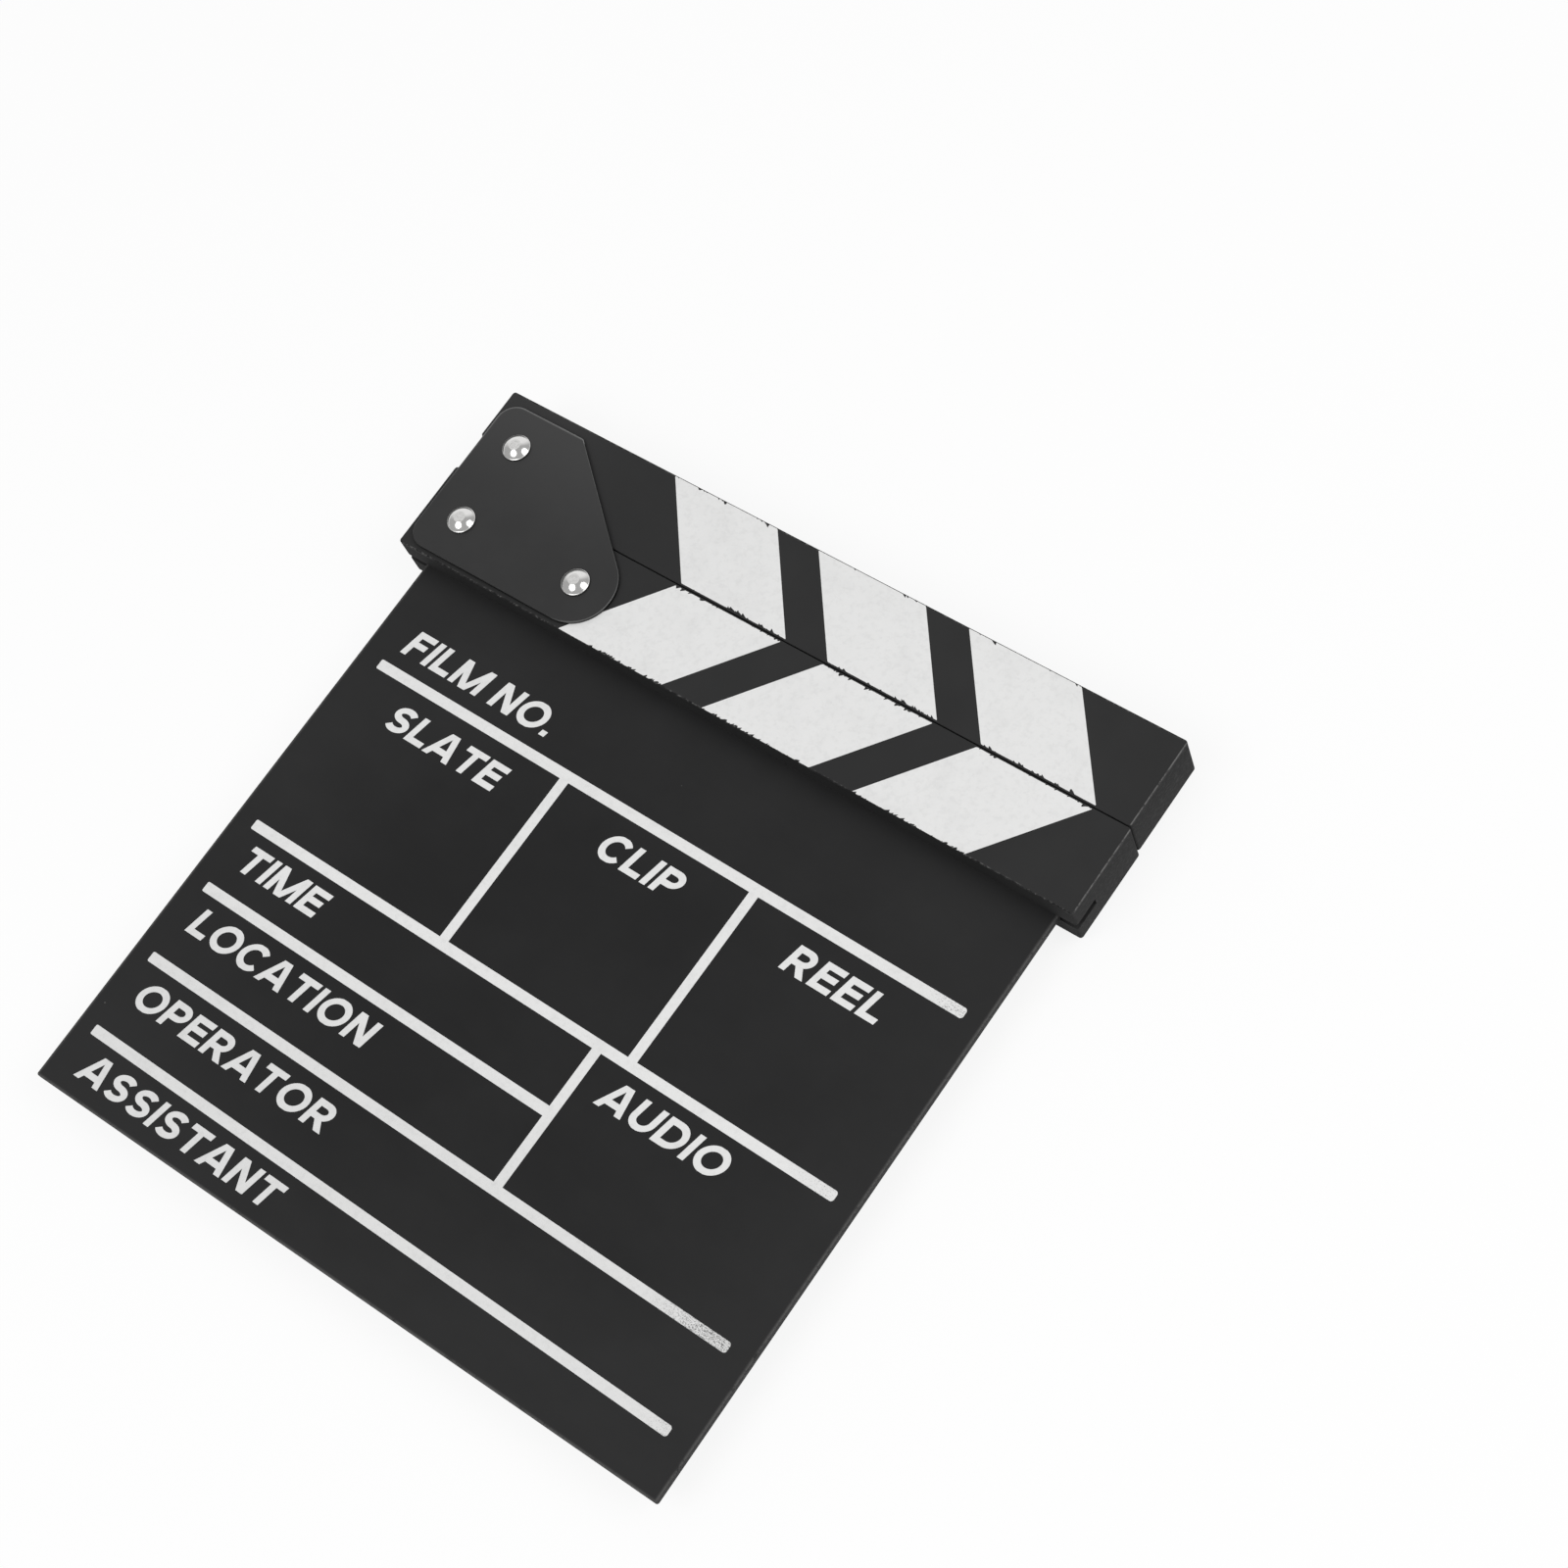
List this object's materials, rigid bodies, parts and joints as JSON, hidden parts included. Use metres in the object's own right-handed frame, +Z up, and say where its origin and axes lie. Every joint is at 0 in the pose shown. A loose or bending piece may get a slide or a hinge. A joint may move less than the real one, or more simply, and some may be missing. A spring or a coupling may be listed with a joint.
{
  "type": "clapperboard",
  "caption": "Hinged clapperboard: a thin ruled slate held in the groove of a striped stick, with a matching clap stick that swings on a riveted corner hinge.",
  "frame": {"origin": "Middle of the whole closed board in plan, on the surface that it lies on, which the rear rivet heads touch.", "axes": "+X runs along the sticks from the hinge end to the free end, +Y from the slate's foot to the clap stick, +Z up out of the printed face."},
  "size_m": [0.2, 0.2032, 0.0196],
  "materials": {
    "slate_paint": "matte black paint on thin fibreboard",
    "stick_paint": "matte black paint on fibreboard sticks, a little rough at the sawn ends",
    "hinge_enamel": "satin black enamel on sheet steel",
    "rivet_nickel": "polished nickel, struck flat on top",
    "white_print": "matte off-white screen print, chipped at the sticks' edges"
  },
  "bodies": {
    "board": {"slate_board": "slate_paint", "lower_stick": "stick_paint", "front_hinge_plate": "hinge_enamel", "rear_hinge_plate": "hinge_enamel", "pivot_rivet_post": "rivet_nickel", "pivot_rivet_cap": "rivet_nickel", "near_rivet_post": "rivet_nickel", "near_rivet_cap": "rivet_nickel", "far_rivet_post": "rivet_nickel", "far_rivet_cap": "rivet_nickel"},
    "clap_stick": {"upper_stick": "stick_paint"}
  },
  "joints": [
    {"name": "clap", "type": "hinge", "parent": "board", "child": "clap_stick", "pos_m": [-0.0884, 0.08835, 0.0098], "axis": [0, 0, 1], "range_deg": [0, 65]}
  ]
}
